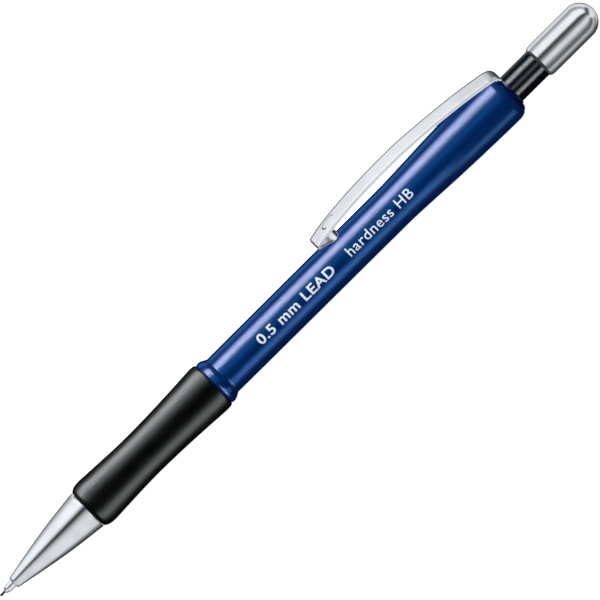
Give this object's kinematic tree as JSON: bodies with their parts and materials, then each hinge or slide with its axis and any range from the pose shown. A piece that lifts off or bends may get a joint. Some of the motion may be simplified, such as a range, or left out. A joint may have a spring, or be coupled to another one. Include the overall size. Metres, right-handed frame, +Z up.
{
  "type": "mechanical pencil",
  "caption": "Push-button mechanical pencil with a metal nose, waisted rubber grip, flared plastic barrel, strip steel pocket clip and domed metal cap over an eraser.",
  "frame": {"origin": "on the surface the pencil lies on, below the middle of its length", "axes": "+X along the pencil from the lead to the push button, +Z up through the clip, the pencil's axis 4.73 mm above z = 0"},
  "size_m": [0.143, 0.0094, 0.0123],
  "materials": {
    "graphite": "polymer-bound graphite, dull grey-black with a faint sheen",
    "polished_steel": "polished nickel-plated steel",
    "satin_metal": "finely turned metal with a satin plated surface",
    "cap_metal": "drawn and polished metal",
    "clip_steel": "bright spring steel strip, lightly satin",
    "spring_steel": "bright drawn spring wire",
    "brass": "turned brass",
    "grip_rubber": "soft black rubber with a silky matt surface",
    "washer_rubber": "black rubber",
    "blue_plastic": "glossy deep blue moulded plastic",
    "dark_blue_plastic": "glossy navy moulded plastic",
    "black_plastic": "glossy black moulded plastic",
    "grey_plastic": "plain moulded tube",
    "eraser_vinyl": "white vinyl eraser",
    "print_white": "pad-printed white ink"
  },
  "bodies": {
    "barrel": {"barrel": "blue_plastic", "front_body": "blue_plastic", "rubber_grip": "grip_rubber", "rear_bush": "dark_blue_plastic", "clip_tongue": "clip_steel", "clutch_sleeve": "brass", "return_spring": "spring_steel"},
    "clip": {"clip_arm": "clip_steel"},
    "propelling_unit": {"lead_magazine": "grey_plastic", "chuck": "brass", "button_sleeve": "black_plastic", "spare_lead_1": "graphite", "spare_lead_2": "graphite", "spare_lead_3": "graphite", "spare_lead_4": "graphite", "spare_lead_5": "graphite"},
    "chuck_ring": {"chuck_ring": "brass"},
    "eraser": {"eraser": "eraser_vinyl"},
    "cap": {"button_cap": "cap_metal"},
    "lead_brake": {"lead_retainer": "washer_rubber"},
    "nose": {"nose_cone": "satin_metal"},
    "guide_sleeve": {"guide_sleeve": "polished_steel"},
    "lead": {"lead": "graphite"}
  },
  "joints": [
    {"name": "button_push", "type": "slide", "parent": "barrel", "child": "propelling_unit", "axis": [-1, 0, 0], "range_m": [0, 0.004], "stiffness_N_per_m": 700, "springref_m": -0.004, "deforming": ["return_spring"]},
    {"name": "ring_slide", "type": "slide", "parent": "barrel", "child": "chuck_ring", "axis": [-1, 0, 0], "range_m": [0, 0.001]},
    {"name": "eraser_pull", "type": "slide", "parent": "propelling_unit", "child": "eraser", "axis": [1, 0, 0], "range_m": [0, 0.008]},
    {"name": "cap_pull", "type": "slide", "parent": "eraser", "child": "cap", "axis": [1, 0, 0], "range_m": [0, 0.015]},
    {"name": "nose_draw", "type": "slide", "parent": "barrel", "child": "lead_brake", "axis": [-1, 0, 0], "range_m": [0, 0.004]},
    {"name": "nose_turn", "type": "hinge", "parent": "lead_brake", "child": "nose", "pos_m": [-0.06, 0, 0.00473], "axis": [-1, 0, 0], "range_deg": [0, 1440]},
    {"name": "sleeve_retract", "type": "slide", "parent": "lead_brake", "child": "guide_sleeve", "axis": [1, 0, 0], "range_m": [0, 0.00205]},
    {"name": "lead_feed", "type": "slide", "parent": "barrel", "child": "lead", "axis": [-1, 0, 0], "range_m": [0, 0.025]},
    {"name": "clip_flex", "type": "hinge", "parent": "barrel", "child": "clip", "pos_m": [0.05129, 0, 0.00944], "axis": [0, 1, 0], "range_deg": [0, 3], "stiffness_Nm_per_rad": 3}
  ],
  "couplings": [
    {"joint": "ring_slide", "follows": "button_push", "ratio": 0.25},
    {"joint": "nose_turn", "follows": "nose_draw", "rad_per_m": 6283.2}
  ]
}
